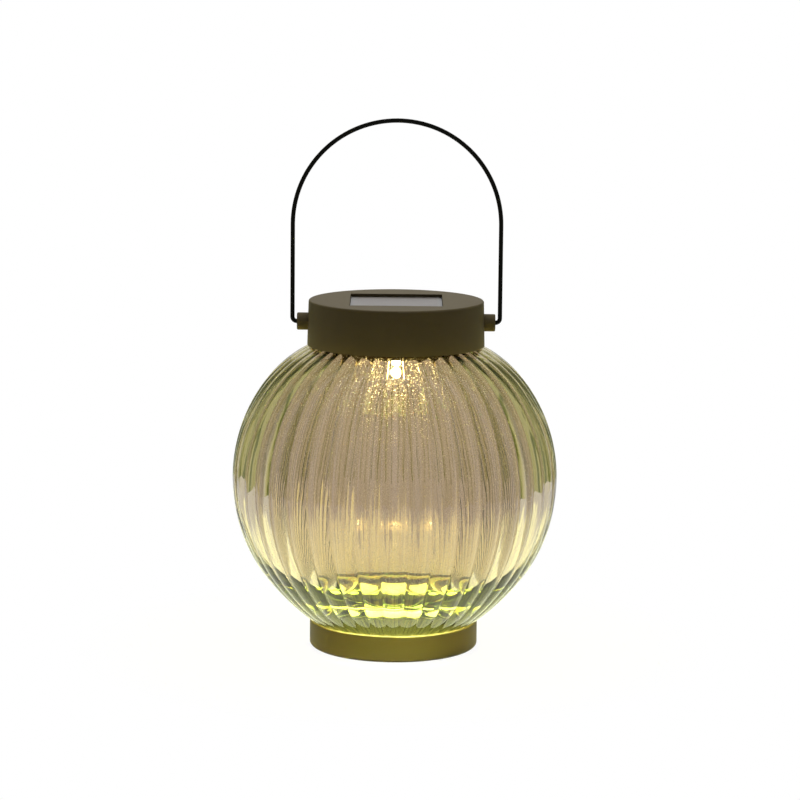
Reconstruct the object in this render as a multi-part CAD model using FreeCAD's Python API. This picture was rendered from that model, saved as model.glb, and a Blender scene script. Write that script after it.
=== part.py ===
import FreeCAD, Part
import math
import os

Vector = FreeCAD.Vector
ORIGIN = Vector(0, 0, 0)
ALONG_X = Vector(1, 0, 0)
ALONG_Z = Vector(0, 0, 1)

# A solar lantern: a ribbed glass globe in a base cup, and a push-in lid with a wire bail.
# Millimetres. The origin is under the middle of the base, +Z is up, and the bail's axis is along X.

# Clearances
running_gap = 0.05  # radial, wire in its bore and seal on its plug
part_gap = 0.3  # between loose pieces
cut_margin = 1.0  # how far a cutting body runs past what it cuts

# Glass globe
globe_radius = 75.0  # at the crests of the ribs
globe_wall = 4.0
rib_count = 40
rib_depth = 1.5  # at the widest place, less where the globe is narrower
lower_steps = 3  # levels lofted along each stretch of the profile
globe_steps = 8
shoulder_steps = 4
front_angle = -90.0  # a rib's crest faces the front
shoulder_radius = 58.0  # the profile tightens above shoulder_start
shoulder_start = 35.0  # degrees above the widest place
lower_radius = 112.0  # and flattens below lower_start
lower_start = -40.0
cavity_corner_radius = 38.0  # rounds the inside into its flat floor
cavity_corner_start = -25.0
neck_wall = 4.0
neck_cap_gap = 1.9  # between the neck and the bore of the cap
neck_height = 9.1
neck_ledge = 1.1  # from the last rib crest in to the neck
neck_edge_round = 1.0
punt_radius = 24.0
punt_depth = 3.0

# Base cup, its glue bead and its foot pad
base_radius = 38.9
base_height = 12.7  # from the table to the rim
base_wall = 2.0
base_floor = 2.4
rim_step = 0.7  # from the outside of the cup in to the first rib crest
base_edge_round = 1.8
base_rim_round = 0.5
stem_gap = 0.4  # round the plain glass stem in the cup
bond_thickness = 0.8
bond_width = 8.0
dab_radius = 17.0  # more silicone near the middle, up to the hollow under the glass
dab_forward = 10.0  # from the middle towards the front
pad_inset = 5.9  # from the outside of the cup
pad_width = 7.0
pad_thickness = 1.0
pad_proud = 0.4

# Cap
cap_bottom_radius = 40.75
cap_draft = 0.55  # narrower at the top
cap_wall = 2.45
cap_edge_round = 0.8
cap_top_thickness = 2.2
cap_lip_width = 1.25  # flat left under the skirt after its inner chamfer
skirt_gap = 0.4  # above the glass shoulder
boss_radius = 4.0
boss_length = 4.75  # outside the skirt
boss_bury = 0.7  # wall left between the boss's root and the bore of the cap
boss_edge_round = 0.6
pivot_rise = 10.4  # bail axis above the bottom of the cap

# Wire bail
wire_radius = 1.0
bail_bend_radius = 2.0
bail_height = 92.3  # from its axis to the middle of the wire at the top
wire_end_cover = 0.3  # bore left beyond the end of the wire

# Solar panel, laid in a square pocket in the top of the cap
panel_side = 42.0
panel_gap = 0.2
panel_sink = 1.15  # cover below the top of the cap
cover_thickness = 0.8
cell_thickness = 0.2
board_thickness = 1.0
tape_thickness = 0.3
tape_width = 5.0
tray_wall = 2.0
tray_floor = 1.6
cell_count = 4
cell_gap = 0.5
cell_margin = 2.0  # from the cover's edge to the cells

# Lower housing, the plug in the neck
plug_gap = 1.2  # in the neck, taken up by the seal
plug_wall = 1.8
plug_depth = 15.0
plug_floor = 2.6
flange_gap = 0.7  # in the bore of the cap
flange_thickness = 1.6
lid_headroom = 3.3  # from the flange up to the panel's tray
tower_inset = 5.9  # screw axis from the inside of the plug
tower_radius = 3.2
tower_count = 3
tower_start = 90.0  # degrees
tower_web = 4.0  # plastic under the screw's head

# Silicone seal
seal_thickness = 1.0
seal_inset = 0.2  # from the outside of the neck
seal_lip_depth = 8.0
seal_lip_wall = 0.4
seal_rib_count = 3
seal_rib_width = 1.2

# Housing screws
screw_radius = 1.1
screw_hole_gap = 0.25
screw_head_radius = 2.2
screw_head_height = 1.7
screw_tip_cover = 1.3  # from the screw's tip up to the tray
screw_slot_width = 0.7
screw_slot_depth = 0.8

# Battery and its bay
cell_radius = 5.25
cell_length = 43.7
cell_nub_radius = 1.9
cell_nub_length = 0.8
bay_led_gap = 0.7  # between the LED's flange and the bay
bay_side_gap = 0.25
bay_wall = 1.0
bay_roof = 1.2
contact_thickness = 0.4
spring_length = 3.2  # pressed in, from the bay's end to the cell
contact_width = 8.0
tab_height = 3.0  # solder tab above the bay's roof
tab_width = 3.0

# Battery door
door_thickness = 1.4
door_ledge = 1.6  # door over the edge of the bay
ear_x = 11.0
ear_rise = 3.5  # screw axis beyond the door's edge
ear_radius = 3.2
door_screw_radius = 0.9
door_screw_head_radius = 1.7
door_screw_head_height = 0.7
door_screw_reach = 5.0
door_boss_radius = 2.4
door_boss_height = 6.5

# Circuit board and what it carries
board_half_width = 13.5
board_front = -19.5
pcb_thickness = 1.6
post_radius = 1.7
post_inset = 2.2
pin_radius = 0.8
pin_gap = 0.1
pin_rise = 0.6
chip_size = Vector(5.0, 4.0, 1.6)
chip_place = Vector(-7.0, -7.0, 0)
chip_leg_side = 0.5
inductor_radius = 1.6
inductor_length = 6.4
inductor_place = Vector(6.5, -12.5, 0)

# LED
led_radius = 2.5
led_flange_rim = 0.4
led_flange_height = 1.0
led_length = 7.6  # from under the flange to the tip
led_hole_gap = 0.1
lead_side = 0.5
lead_spacing = 2.54
lead_rise = 1.2  # above the board

# Slide switch
switch_y = -12.0
switch_length = 8.6
switch_width = 3.8
switch_height = 3.5
switch_shell = 0.5
slider_length = 3.2
slider_height = 1.8
knob_side = 1.8
knob_proud = 1.2
switch_travel = 2.0

# Insulated leads
lead_radius = 0.6
panel_lead_y = -16.5
panel_lead_spacing = 3.0
panel_lead_shift = 5.0
panel_lead_bend = 3.0
lead_hole_margin = 0.8
battery_lead_x = 11.0
battery_lead_y = -1.5
battery_lead_bend = 4.0


def along(radius, degrees):
    """A point at a radius and angle, as (out, up)."""
    angle = math.radians(degrees)
    return radius * math.cos(angle), radius * math.sin(angle)


def rise_on_arc(radius, out):
    """How far a circle stands above its centre at a distance out from it."""
    return math.sqrt(radius**2 - out**2)


# Radii that fit in each other, from the outside in
cup_bore_radius = base_radius - base_wall
stem_radius = cup_bore_radius - stem_gap
seat_radius = base_radius - rim_step
pad_radius = base_radius - pad_inset
cap_top_radius = cap_bottom_radius - cap_draft
cap_bore_radius = cap_bottom_radius - cap_wall
lip_radius = cap_bottom_radius - cap_lip_width
boss_reach = cap_bottom_radius + boss_length
boss_root = cap_bore_radius + boss_bury
flange_radius = cap_bore_radius - flange_gap
neck_radius = cap_bore_radius - neck_cap_gap
neck_bore_radius = neck_radius - neck_wall
seal_radius = neck_radius - seal_inset
seal_rib_radius = neck_bore_radius - part_gap
plug_radius = neck_bore_radius - plug_gap
plug_bore_radius = plug_radius - plug_wall
tower_circle_radius = plug_bore_radius - tower_inset
led_flange_radius = led_radius + led_flange_rim

# Heights, from the table up
cup_bottom_z = pad_proud
cup_floor_z = cup_bottom_z + base_floor
stem_bottom_z = cup_floor_z + bond_thickness
seat_z = base_height + running_gap

lower_out, lower_up = along(globe_radius - lower_radius, lower_start)
globe_z = seat_z - lower_up + rise_on_arc(lower_radius, seat_radius - lower_out)
lower_z = globe_z + lower_up
shoulder_out, shoulder_up = along(globe_radius - shoulder_radius, shoulder_start)
shoulder_z = globe_z + shoulder_up

rib_top_radius = neck_radius + neck_ledge
rib_top_z = shoulder_z + rise_on_arc(shoulder_radius, rib_top_radius - shoulder_out)
neck_top_z = rib_top_z + neck_height

flange_z = neck_top_z + seal_thickness
flange_top_z = flange_z + flange_thickness

tray_bottom_z = flange_top_z + lid_headroom
pocket_floor_z = tray_bottom_z + tray_floor
board_bottom_z = pocket_floor_z + tape_thickness
cells_bottom_z = board_bottom_z + board_thickness
cover_bottom_z = cells_bottom_z + cell_thickness
cover_top_z = cover_bottom_z + cover_thickness
cap_top_z = cover_top_z + panel_sink
cap_ceiling_z = cap_top_z - cap_top_thickness
cap_bottom_z = shoulder_z + rise_on_arc(shoulder_radius, lip_radius - shoulder_out) + skirt_gap
pivot_z = cap_bottom_z + pivot_rise

plug_bottom_z = flange_z - plug_depth
plug_floor_z = plug_bottom_z + plug_floor
head_seat_z = flange_top_z - tower_web
screw_tip_z = tray_bottom_z - screw_tip_cover

door_top_z = plug_bottom_z + door_thickness
cell_z = door_top_z + part_gap + cell_radius
bay_top_z = cell_z + cell_radius + part_gap

switch_bottom_z = plug_floor_z + part_gap
pcb_bottom_z = switch_bottom_z + switch_height
pcb_top_z = pcb_bottom_z + pcb_thickness

# Places shared by pieces that fit each other
bail_leg_x = boss_reach + 2 * running_gap + bail_bend_radius
wire_end_x = cap_bore_radius + wire_end_cover
bay_half_length = (cell_length + cell_nub_length + spring_length + contact_thickness) / 2
bay_half_width = cell_radius + bay_side_gap
bay_y = led_flange_radius + bay_led_gap + bay_wall + bay_half_width
cell_minus_x = -bay_half_length + spring_length
door_low_y = bay_y - bay_half_width - door_ledge
door_high_y = bay_y + bay_half_width + door_ledge
ear_y = door_high_y + ear_rise
ear_places = [(-ear_x, ear_y), (ear_x, ear_y)]
tower_step = 360.0 / tower_count
tower_places = [along(tower_circle_radius, tower_start + i * tower_step) for i in range(tower_count)]
board_back = bay_y - bay_half_width - bay_wall - part_gap
post_reach_x = board_half_width - post_inset
knob_slot_half_x = (knob_side + switch_travel) / 2 + part_gap
knob_slot_half_y = knob_side / 2 + part_gap
post_rows = (board_front + post_inset, board_back - post_inset)
post_places = [(x, y) for x in (-post_reach_x, post_reach_x) for y in post_rows]


def disc(radius, low, high, x=0.0, y=0.0):
    """An upright cylinder between two heights."""
    return Part.makeCylinder(radius, high - low, Vector(x, y, low), ALONG_Z)


def ring(outer, inner, low, high):
    return disc(outer, low, high).cut(disc(inner, low - cut_margin, high + cut_margin))


def block(x_low, x_high, y_low, y_high, z_low, z_high):
    corner = Vector(x_low, y_low, z_low)
    return Part.makeBox(x_high - x_low, y_high - y_low, z_high - z_low, corner)


def middle_block(half_x, half_y, z_low, z_high, x=0.0, y=0.0):
    return block(x - half_x, x + half_x, y - half_y, y + half_y, z_low, z_high)


def joined(pieces):
    """One solid from pieces that overlap."""
    return pieces[0].multiFuse(pieces[1:]).removeSplitter()


def group(pieces):
    """Separate solids that share a node."""
    return Part.makeCompound(pieces)


def line(start, end):
    return Part.LineSegment(start, end).toShape()


def rounded_edges(points, rounds, closed):
    """Straight runs through the points, with a tangent arc of the given radius at each corner."""
    count = len(points)
    runs = []
    for i, (point, radius) in enumerate(zip(points, rounds)):
        if radius == 0:
            runs.append((point, None, point))
            continue
        back = (points[i - 1] - point).normalize()
        ahead = (points[(i + 1) % count] - point).normalize()
        half_angle = back.getAngle(ahead) / 2
        reach = radius / math.tan(half_angle)
        inward = (back + ahead).normalize()
        middle = point + inward * (radius / math.sin(half_angle) - radius)
        runs.append((point + back * reach, middle, point + ahead * reach))
    edges = []
    for i, (start, middle, end) in enumerate(runs):
        if middle:
            edges.append(Part.Arc(start, middle, end).toShape())
        if i + 1 < count or closed:
            edges.append(line(end, runs[(i + 1) % count][0]))
    return edges


def turned(edges):
    """A solid turned about the upright axis from a closed outline in the XZ plane."""
    return Part.Face(Part.Wire(edges)).revolve(ORIGIN, ALONG_Z, 360)


def turned_outline(corners):
    """A turned solid from corners given as (out, up) or (out, up, round)."""
    points = [Vector(corner[0], 0, corner[1]) for corner in corners]
    rounds = [corner[2] if len(corner) > 2 else 0 for corner in corners]
    return turned(rounded_edges(points, rounds, True))


def round_wire(edges, radius):
    """A round wire along a path of straight runs and arcs."""
    path = Part.Wire(edges)
    start = edges[0].Vertexes[0].Point
    heading = edges[0].tangentAt(edges[0].FirstParameter)
    section = Part.Wire(Part.makeCircle(radius, start, heading))
    return path.makePipeShell([section], True, False)


# The glass: ribs lofted through scalloped sections, a plain neck and stem, and a turned cavity.
def arc_points(out, up, radius, start, end, steps):
    """Points on the crest profile between two angles of one of its arcs, without the last."""
    angles = [start + (end - start) * i / steps for i in range(steps)]
    return [(out + along(radius, a)[0], up + along(radius, a)[1]) for a in angles]


def scalloped_section(crest_radius, z):
    """One level of the globe: an outward arc for each rib, with a crest at the front."""
    valley_radius = crest_radius - rib_depth * crest_radius / globe_radius
    pitch = 360.0 / rib_count
    edges = []
    for i in range(rib_count):
        crest_angle = front_angle + i * pitch
        start = Vector(*along(valley_radius, crest_angle - pitch / 2), z)
        crest = Vector(*along(crest_radius, crest_angle), z)
        end = Vector(*along(valley_radius, crest_angle + pitch / 2), z)
        edges.append(Part.Arc(start, crest, end).toShape())
    return Part.Wire(edges)


def globe_cavity():
    """The inside of the glass: flat floor, rounded corner, globe, shoulder and neck."""
    inner_radius = globe_radius - globe_wall
    corner_out, corner_up = along(inner_radius - cavity_corner_radius, cavity_corner_start)
    shoulder_inner = shoulder_radius - globe_wall
    neck_low_z = shoulder_z + rise_on_arc(shoulder_inner, neck_bore_radius - shoulder_out)
    neck_angle = math.degrees(math.acos((neck_bore_radius - shoulder_out) / shoulder_inner))

    def inside_arc(out, z, radius, start, end):
        points = [along(radius, angle) for angle in (start, (start + end) / 2, end)]
        return Part.Arc(*[Vector(out + p[0], 0, z + p[1]) for p in points]).toShape()

    floor_z = globe_z + corner_up - cavity_corner_radius
    mouth_radius = neck_bore_radius + neck_edge_round
    mouth_low_z = neck_top_z - neck_edge_round
    axis_low = Vector(0, 0, floor_z)
    axis_high = Vector(0, 0, neck_top_z + cut_margin)
    mouth_high = Vector(mouth_radius, 0, neck_top_z + cut_margin)
    return turned(
        [
            line(axis_low, Vector(corner_out, 0, floor_z)),
            inside_arc(corner_out, globe_z + corner_up, cavity_corner_radius, -90.0, cavity_corner_start),
            inside_arc(0, globe_z, inner_radius, cavity_corner_start, shoulder_start),
            inside_arc(shoulder_out, shoulder_z, shoulder_inner, shoulder_start, neck_angle),
            line(Vector(neck_bore_radius, 0, neck_low_z), Vector(neck_bore_radius, 0, mouth_low_z)),
            inside_arc(mouth_radius, mouth_low_z, neck_edge_round, 180.0, 90.0),
            line(Vector(mouth_radius, 0, neck_top_z), mouth_high),
            line(mouth_high, axis_high),
            line(axis_high, axis_low),
        ]
    )


def punt_ball(gap=0.0):
    """The ball that hollows the underside of the glass, or a smaller one that leaves a gap to it."""
    radius = (punt_radius**2 + punt_depth**2) / (2 * punt_depth)
    return Part.makeSphere(radius - gap, Vector(0, 0, stem_bottom_z + punt_depth - radius))


def glass_globe():
    seat_angle = math.degrees(math.asin((seat_z - lower_z) / lower_radius))
    top_angle = math.degrees(math.asin((rib_top_z - shoulder_z) / shoulder_radius))
    levels = arc_points(lower_out, lower_z, lower_radius, seat_angle, lower_start, lower_steps)
    levels += arc_points(0, globe_z, globe_radius, lower_start, shoulder_start, globe_steps)
    shoulder_arc = (shoulder_out, shoulder_z, shoulder_radius, shoulder_start, top_angle)
    levels += arc_points(*shoulder_arc, shoulder_steps)
    levels.append((rib_top_radius, rib_top_z))
    ribs = Part.makeLoft([scalloped_section(*level) for level in levels], True, False)
    neck = turned_outline(
        [
            (0, rib_top_z - cut_margin),
            (neck_radius, rib_top_z - cut_margin),
            (neck_radius, neck_top_z, neck_edge_round),
            (0, neck_top_z),
        ]
    )
    stem = disc(stem_radius, stem_bottom_z, seat_z + cut_margin)
    return joined([ribs, neck, stem]).cut(globe_cavity()).cut(punt_ball())


# The base: a moulded cup, a bead of silicone under the glass, and a soft ring to stand on.
def base_cup():
    pad_inner = pad_radius - pad_width
    recess_z = cup_bottom_z + pad_thickness - pad_proud
    return turned_outline(
        [
            (0, cup_bottom_z),
            (pad_inner - part_gap, cup_bottom_z),
            (pad_inner - part_gap, recess_z),
            (pad_radius + part_gap, recess_z),
            (pad_radius + part_gap, cup_bottom_z),
            (base_radius, cup_bottom_z, base_edge_round),
            (base_radius, base_height, base_rim_round),
            (cup_bore_radius, base_height, base_rim_round),
            (cup_bore_radius, cup_floor_z),
            (0, cup_floor_z),
        ]
    )


def base_bond():
    """A bead round the edge of the glass, and a dab that was put down a little in front of the middle."""
    bead = ring(stem_radius, stem_radius - bond_width, cup_floor_z, stem_bottom_z)
    blob = disc(dab_radius, cup_floor_z, stem_bottom_z + punt_depth, y=-dab_forward)
    dab = blob.common(punt_ball(running_gap))
    return group([bead, dab])


def foot_pad():
    return ring(pad_radius, pad_radius - pad_width, 0, pad_thickness)


# The cap: a drafted skirt and top with the panel's pocket, the bosses for the bail, and three screw posts.
def cap_boss(side):
    """A boss on one side of the skirt, with its end edge rounded."""
    corners = [
        Vector(side * boss_root, 0, pivot_z),
        Vector(side * boss_root, 0, pivot_z + boss_radius),
        Vector(side * boss_reach, 0, pivot_z + boss_radius),
        Vector(side * boss_reach, 0, pivot_z),
    ]
    outline = Part.Wire(rounded_edges(corners, [0, 0, boss_edge_round, 0], True))
    return Part.Face(outline).revolve(Vector(0, 0, pivot_z), ALONG_X, 360)


def cap_shell():
    chamfer = lip_radius - cap_bore_radius
    skirt = turned_outline(
        [
            (0, cap_ceiling_z),
            (cap_bore_radius, cap_ceiling_z),
            (cap_bore_radius, cap_bottom_z + chamfer),
            (lip_radius, cap_bottom_z),
            (cap_bottom_radius, cap_bottom_z),
            (cap_top_radius, cap_top_z, cap_edge_round),
            (0, cap_top_z),
        ]
    )
    pocket_half = panel_side / 2 + panel_gap
    tray_half = pocket_half + tray_wall
    tray = middle_block(tray_half, tray_half, tray_bottom_z, cap_ceiling_z + cut_margin)
    posts = [disc(tower_radius, flange_top_z, cap_ceiling_z + cut_margin, x, y) for x, y in tower_places]
    body = joined([skirt, tray, cap_boss(-1), cap_boss(1)] + posts)
    pocket = middle_block(pocket_half, pocket_half, pocket_floor_z, cap_top_z + cut_margin)
    hole_half_x = panel_lead_spacing / 2 + lead_radius + lead_hole_margin
    hole_half_y = lead_radius + lead_hole_margin
    lead_hole = middle_block(
        hole_half_x, hole_half_y, tray_bottom_z - cut_margin, cap_top_z, y=panel_lead_y
    )
    bore_length = 2 * (boss_reach + cut_margin)
    bore_start = Vector(-boss_reach - cut_margin, 0, pivot_z)
    bore = Part.makeCylinder(wire_radius + running_gap, bore_length, bore_start, ALONG_X)
    pilot_top_z = screw_tip_z + part_gap
    pilot_radius = screw_radius + running_gap
    pilots = [disc(pilot_radius, flange_top_z - cut_margin, pilot_top_z, x, y) for x, y in tower_places]
    return body.cut([pocket, lead_hole, bore] + pilots)


def bail_handle():
    """One length of wire: in through each boss, up both legs, and half a circle over the top."""
    shoulder = pivot_z + bail_height - bail_leg_x
    points = [
        Vector(-wire_end_x, 0, pivot_z),
        Vector(-bail_leg_x, 0, pivot_z),
        Vector(-bail_leg_x, 0, shoulder),
    ]
    left = rounded_edges(points, [0, bail_bend_radius, 0], False)
    mirrored = [Vector(-p.x, p.y, p.z) for p in reversed(points)]
    right = rounded_edges(mirrored, [0, bail_bend_radius, 0], False)
    top = Vector(0, 0, pivot_z + bail_height)
    bow = Part.Arc(points[-1], top, Vector(bail_leg_x, 0, shoulder)).toShape()
    return round_wire(left + [bow] + right, wire_radius)


# The solar panel: cover, cell strips, board and tape, one on the other in the cap's pocket.
def solar_cover():
    half = panel_side / 2
    cells_half = half - cell_margin + cell_gap
    plate = middle_block(half, half, cells_bottom_z, cover_top_z)
    return plate.cut(middle_block(cells_half, cells_half, cells_bottom_z - cut_margin, cover_bottom_z))


def solar_cells():
    span = panel_side - 2 * cell_margin
    pitch = (span + cell_gap) / cell_count
    lows = [-span / 2 + i * pitch for i in range(cell_count)]
    return group(
        [
            block(-span / 2, span / 2, low, low + pitch - cell_gap, cells_bottom_z, cover_bottom_z)
            for low in lows
        ]
    )


def solar_board():
    half = panel_side / 2
    return middle_block(half, half, board_bottom_z, cells_bottom_z)


def panel_tape():
    half = panel_side / 2
    window = half - tape_width
    frame = middle_block(half, half, pocket_floor_z, board_bottom_z)
    lead_window = middle_block(
        panel_lead_spacing, tape_width, pocket_floor_z - cut_margin, cap_top_z, y=panel_lead_y
    )
    return frame.cut(
        [middle_block(window, window, pocket_floor_z - cut_margin, cap_top_z), lead_window]
    )


# The plug: a cup with a flange on the neck, three screw towers, the battery bay and posts for the board.
def door_outline(edge_gap, low, high):
    """The door's plan, two ears on a plate, made larger by a gap for the rebate that it lies in."""
    half_length = bay_half_length + door_ledge - contact_thickness + edge_gap
    plate = block(-half_length, half_length, door_low_y - edge_gap, door_high_y + edge_gap, low, high)
    ears = []
    for x, y in ear_places:
        half_width = ear_radius + edge_gap
        ears.append(disc(half_width, low, high, x, y))
        ears.append(block(x - half_width, x + half_width, door_high_y - cut_margin, y, low, high))
    return joined([plate] + ears)


def lower_housing():
    plug = disc(plug_radius, plug_bottom_z, flange_top_z)
    flange = disc(flange_radius, flange_z, flange_top_z)
    hollow = disc(plug_bore_radius, plug_floor_z, flange_top_z + cut_margin)
    cup = joined([plug, flange]).cut(hollow)

    bay_low_y = bay_y - bay_half_width
    bay_high_y = bay_y + bay_half_width
    bay_box = block(
        -bay_half_length - bay_wall,
        bay_half_length + bay_wall,
        bay_low_y - bay_wall,
        bay_high_y + bay_wall,
        plug_floor_z - cut_margin,
        bay_top_z + bay_roof,
    ).common(disc(plug_radius, plug_bottom_z, flange_top_z))
    towers = [disc(tower_radius, plug_bottom_z, flange_top_z, x, y) for x, y in tower_places]
    in_floor_z = plug_floor_z - cut_margin
    posts = [disc(post_radius, in_floor_z, pcb_bottom_z, x, y) for x, y in post_places]
    pins = [disc(pin_radius, in_floor_z, pcb_top_z + pin_rise, x, y) for x, y in post_places]
    door_boss_top_z = plug_floor_z + door_boss_height
    door_bosses = [disc(door_boss_radius, in_floor_z, door_boss_top_z, x, y) for x, y in ear_places]
    body = joined([cup, bay_box] + towers + posts + pins + door_bosses)

    below_z = plug_bottom_z - cut_margin
    above_floor_z = plug_floor_z + cut_margin
    cuts = [
        block(-bay_half_length, bay_half_length, bay_low_y, bay_high_y, below_z, bay_top_z),
        door_outline(part_gap, below_z, door_top_z + running_gap),
        disc(led_radius + led_hole_gap, below_z, above_floor_z),
        middle_block(knob_slot_half_x, knob_slot_half_y, below_z, above_floor_z, y=switch_y),
    ]
    for x, y in tower_places:
        cuts.append(disc(screw_head_radius + part_gap, below_z, head_seat_z, x, y))
        cuts.append(disc(screw_radius + screw_hole_gap, head_seat_z, flange_top_z + cut_margin, x, y))
    door_pilot_top_z = plug_bottom_z + door_screw_head_height + door_screw_reach + part_gap
    for x, y in ear_places:
        cuts.append(disc(door_screw_radius + running_gap, door_top_z, door_pilot_top_z, x, y))
    for side in (-1, 1):
        tab_x = side * (bay_half_length - contact_thickness / 2)
        half_x = contact_thickness / 2 + running_gap
        half_y = tab_width / 2 + running_gap
        roof_top_z = bay_top_z + bay_roof + cut_margin
        cuts.append(middle_block(half_x, half_y, bay_top_z - cut_margin, roof_top_z, tab_x, bay_y))
    return body.cut(cuts)


def lid_seal():
    """A flange on the glass and a ribbed lip down the plug, free of the neck's bore."""
    bore = plug_radius + running_gap
    lip = bore + seal_lip_wall
    flange = ring(seal_radius, bore, neck_top_z, flange_z)
    sleeve = ring(lip, bore, neck_top_z - seal_lip_depth, flange_z)
    pitch = seal_lip_depth / seal_rib_count
    ribs = []
    for i in range(seal_rib_count):
        middle_z = neck_top_z - pitch * (i + 0.5)
        outline = [
            (bore, middle_z - seal_rib_width / 2),
            (lip, middle_z - seal_rib_width / 2),
            (seal_rib_radius, middle_z),
            (lip, middle_z + seal_rib_width / 2),
            (bore, middle_z + seal_rib_width / 2),
        ]
        ribs.append(turned_outline(outline))
    return joined([flange, sleeve] + ribs)


def pan_screw(x, y, head_z, head_radius, head_height, shank_radius, reach):
    """A screw pointing up, its head from head_z down, with a single slot."""
    head = disc(head_radius, head_z - head_height, head_z, x, y)
    shank = disc(shank_radius, head_z - head_height, head_z + reach, x, y)
    half_slot = screw_slot_width / 2
    slot_low = head_z - head_height - cut_margin
    slot_high = head_z - head_height + min(screw_slot_depth, head_height / 2)
    return joined([head, shank]).cut(middle_block(head_radius, half_slot, slot_low, slot_high, x, y))


def housing_screws():
    reach = screw_tip_z - head_seat_z
    return group(
        [
            pan_screw(x, y, head_seat_z, screw_head_radius, screw_head_height, screw_radius, reach)
            for x, y in tower_places
        ]
    )


# The battery: a cell between a sprung and a plain contact, and a door held by two screws.
def battery_cell():
    axis_start = Vector(cell_minus_x, bay_y, cell_z)
    can = Part.makeCylinder(cell_radius, cell_length, axis_start, ALONG_X)
    nub = Part.makeCylinder(cell_nub_radius, cell_length + cell_nub_length, axis_start, ALONG_X)
    return joined([can, nub])


def contact_plate(x_low):
    """A flat contact at one end of the bay, with its solder tab up through the roof."""
    x_high = x_low + contact_thickness
    half = contact_width / 2
    plate = block(x_low, x_high, bay_y - half, bay_y + half, cell_z - half, cell_z + half)
    half_tab = tab_width / 2
    tab_top_z = bay_top_z + bay_roof + tab_height
    tab = block(x_low, x_high, bay_y - half_tab, bay_y + half_tab, cell_z, tab_top_z)
    return joined([plate, tab])


def battery_contact():
    return contact_plate(bay_half_length - contact_thickness)


def battery_spring():
    """The minus contact, with a sprung tongue folded up from its foot to press on the cell."""
    half = contact_width / 2
    half_tongue = tab_width / 2
    root = -bay_half_length + contact_thickness
    low_z = cell_z - half
    corners = [
        (root, low_z),
        (root + contact_thickness, low_z),
        (cell_minus_x, cell_z),
        (root + 2 * contact_thickness, cell_z + half),
        (root + contact_thickness, cell_z + half),
        (cell_minus_x - contact_thickness, cell_z),
        (root, low_z + contact_thickness),
    ]
    points = [Vector(x, bay_y - half_tongue, z) for x, z in corners]
    outline = Part.Face(Part.Wire(rounded_edges(points, [0] * len(points), True)))
    tongue = outline.extrude(Vector(0, tab_width, 0))
    return joined([contact_plate(-bay_half_length), tongue])


def battery_door():
    plate = door_outline(0, plug_bottom_z, door_top_z)
    cuts = []
    for x, y in ear_places:
        head_hole = door_screw_head_radius + running_gap
        head_top_z = plug_bottom_z + door_screw_head_height
        cuts.append(disc(head_hole, plug_bottom_z - cut_margin, head_top_z, x, y))
        cuts.append(disc(door_screw_radius + running_gap, plug_bottom_z, door_top_z + cut_margin, x, y))
    return plate.cut(cuts)


def battery_door_screws():
    head_z = plug_bottom_z + door_screw_head_height
    return group(
        [
            pan_screw(
                x,
                y,
                head_z,
                door_screw_head_radius,
                door_screw_head_height,
                door_screw_radius,
                door_screw_reach,
            )
            for x, y in ear_places
        ]
    )


# The board: staked on four posts, with the driver, the inductor, the LED and the switch.
def circuit_board():
    board = block(-board_half_width, board_half_width, board_front, board_back, pcb_bottom_z, pcb_top_z)
    low_z = pcb_bottom_z - cut_margin
    high_z = pcb_top_z + cut_margin
    holes = [disc(pin_radius + pin_gap, low_z, high_z, x, y) for x, y in post_places]
    for x in (-lead_spacing / 2, lead_spacing / 2):
        holes.append(disc(lead_side, low_z, high_z, x))
    return board.cut(holes)


def driver_chip():
    half_x = chip_size.x / 2
    half_y = chip_size.y / 2
    body_low_z = pcb_top_z + chip_leg_side
    body = middle_block(half_x, half_y, body_low_z, body_low_z + chip_size.z, chip_place.x, chip_place.y)
    pitch = chip_size.x / 2
    legs = []
    for i in (-1, 1):
        for side in (-1, 1):
            leg_x = chip_place.x + i * pitch / 2
            leg_y = chip_place.y + side * half_y
            leg_top_z = body_low_z + chip_leg_side
            legs.append(middle_block(chip_leg_side / 2, chip_leg_side, pcb_top_z, leg_top_z, leg_x, leg_y))
    return joined([body] + legs)


def inductor():
    """A small choke lying on the board, its two lead wires turned down to it."""
    axis_z = pcb_top_z + inductor_radius + running_gap
    start = inductor_place + Vector(-inductor_length / 2, 0, axis_z)
    body = Part.makeCylinder(inductor_radius, inductor_length, start, ALONG_X)
    half_reach = inductor_length / 2 + inductor_radius
    half_lead = lead_side / 2
    x = inductor_place.x
    y = inductor_place.y
    wire = middle_block(half_reach, half_lead, axis_z - half_lead, axis_z + half_lead, x, y)
    legs = []
    for side in (-1, 1):
        leg_x = x + side * (half_reach - half_lead)
        legs.append(middle_block(half_lead, half_lead, pcb_top_z, axis_z + half_lead, leg_x, y))
    return joined([body, wire] + legs)


def led_lens():
    tip_z = plug_floor_z - led_length
    flange_high_z = plug_floor_z + led_flange_height
    body = disc(led_radius, tip_z + led_radius, flange_high_z)
    dome = Part.makeSphere(led_radius, Vector(0, 0, tip_z + led_radius))
    flange = disc(led_flange_radius, plug_floor_z, flange_high_z)
    return joined([body, dome, flange])


def led_leads():
    half = lead_side / 2
    low_z = plug_floor_z + led_flange_height
    return group(
        [
            middle_block(half, half, low_z, pcb_top_z + lead_rise, x)
            for x in (-lead_spacing / 2, lead_spacing / 2)
        ]
    )


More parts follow.
